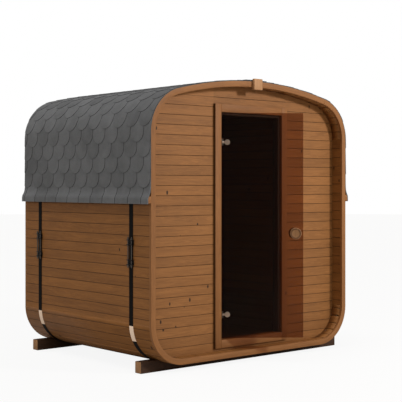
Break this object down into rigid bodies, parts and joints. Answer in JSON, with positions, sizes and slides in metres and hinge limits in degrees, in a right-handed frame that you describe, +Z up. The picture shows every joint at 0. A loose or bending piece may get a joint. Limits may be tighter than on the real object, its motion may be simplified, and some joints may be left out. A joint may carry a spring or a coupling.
{
  "type": "cube sauna",
  "caption": "Timber sauna cabin with a rounded square shell of staves held by steel straps, a smoked glass door, a shingled roof and cradle beams.",
  "frame": {"origin": "ground level under the middle of the cabin as it stands with its door ajar: half way from side to side, and half way from the door's outer knob to the back ridge block", "axes": "+X to the right as seen from the front, +Y from the front to the back, +Z up"},
  "size_m": [2.116, 2.0186, 2.165],
  "materials": {
    "stave_timber": "oiled planed boards",
    "rim_timber": "oiled planed timber",
    "wall_timber": "oiled planed boards",
    "frame_timber": "oiled planed timber",
    "beam_timber": "impregnated timber",
    "pale_timber": "planed timber",
    "knob_timber": "turned, oiled",
    "bronze_glass": "bronze tinted, polished edges",
    "hinge_steel": "brushed",
    "strap_steel": "black, semi-gloss",
    "shingle": "mineral surfaced bitumen"
  },
  "bodies": {
    "cabin": {"beam_front": "beam_timber", "beam_rear": "beam_timber", "floor_staves": "stave_timber", "foot_staves_left": "stave_timber", "foot_staves_right": "stave_timber", "side_staves_left": "stave_timber", "side_staves_right": "stave_timber", "shoulder_staves_left": "stave_timber", "shoulder_staves_right": "stave_timber", "roof_staves_left": "stave_timber", "roof_staves_right": "stave_timber", "rim_front": "rim_timber", "rim_back": "rim_timber", "back_wall": "wall_timber", "front_wall_left": "wall_timber", "front_wall_right": "wall_timber", "front_wall_head": "wall_timber", "front_wall_foot": "wall_timber", "door_post_left": "frame_timber", "door_post_right": "frame_timber", "door_head": "frame_timber", "door_sill": "frame_timber", "door_stops": "frame_timber", "hinge_base_top": "hinge_steel", "hinge_base_bottom": "hinge_steel", "side_shingles_left": "shingle", "side_shingles_right": "shingle", "roof_shingles": "shingle", "ridge_shingles": "shingle", "eave_batten_left": "pale_timber", "eave_batten_right": "pale_timber", "ridge_block_front": "pale_timber", "ridge_block_back": "pale_timber", "strap_front": "strap_steel", "strap_rear": "strap_steel", "tensioner_front_left": "strap_steel", "tensioner_front_right": "strap_steel", "tensioner_rear_left": "strap_steel", "tensioner_rear_right": "strap_steel"},
    "door": {"hinge_clamp_top": "hinge_steel", "hinge_clamp_bottom": "hinge_steel", "door_glass": "bronze_glass", "knob_outside": "knob_timber", "knob_inside": "knob_timber"}
  },
  "joints": [
    {"name": "door_hinge", "type": "hinge", "parent": "cabin", "child": "door", "pos_m": [-0.2665, -0.62368, 1.0395], "axis": [0, 0, -1], "range_deg": [-37, 68]}
  ]
}
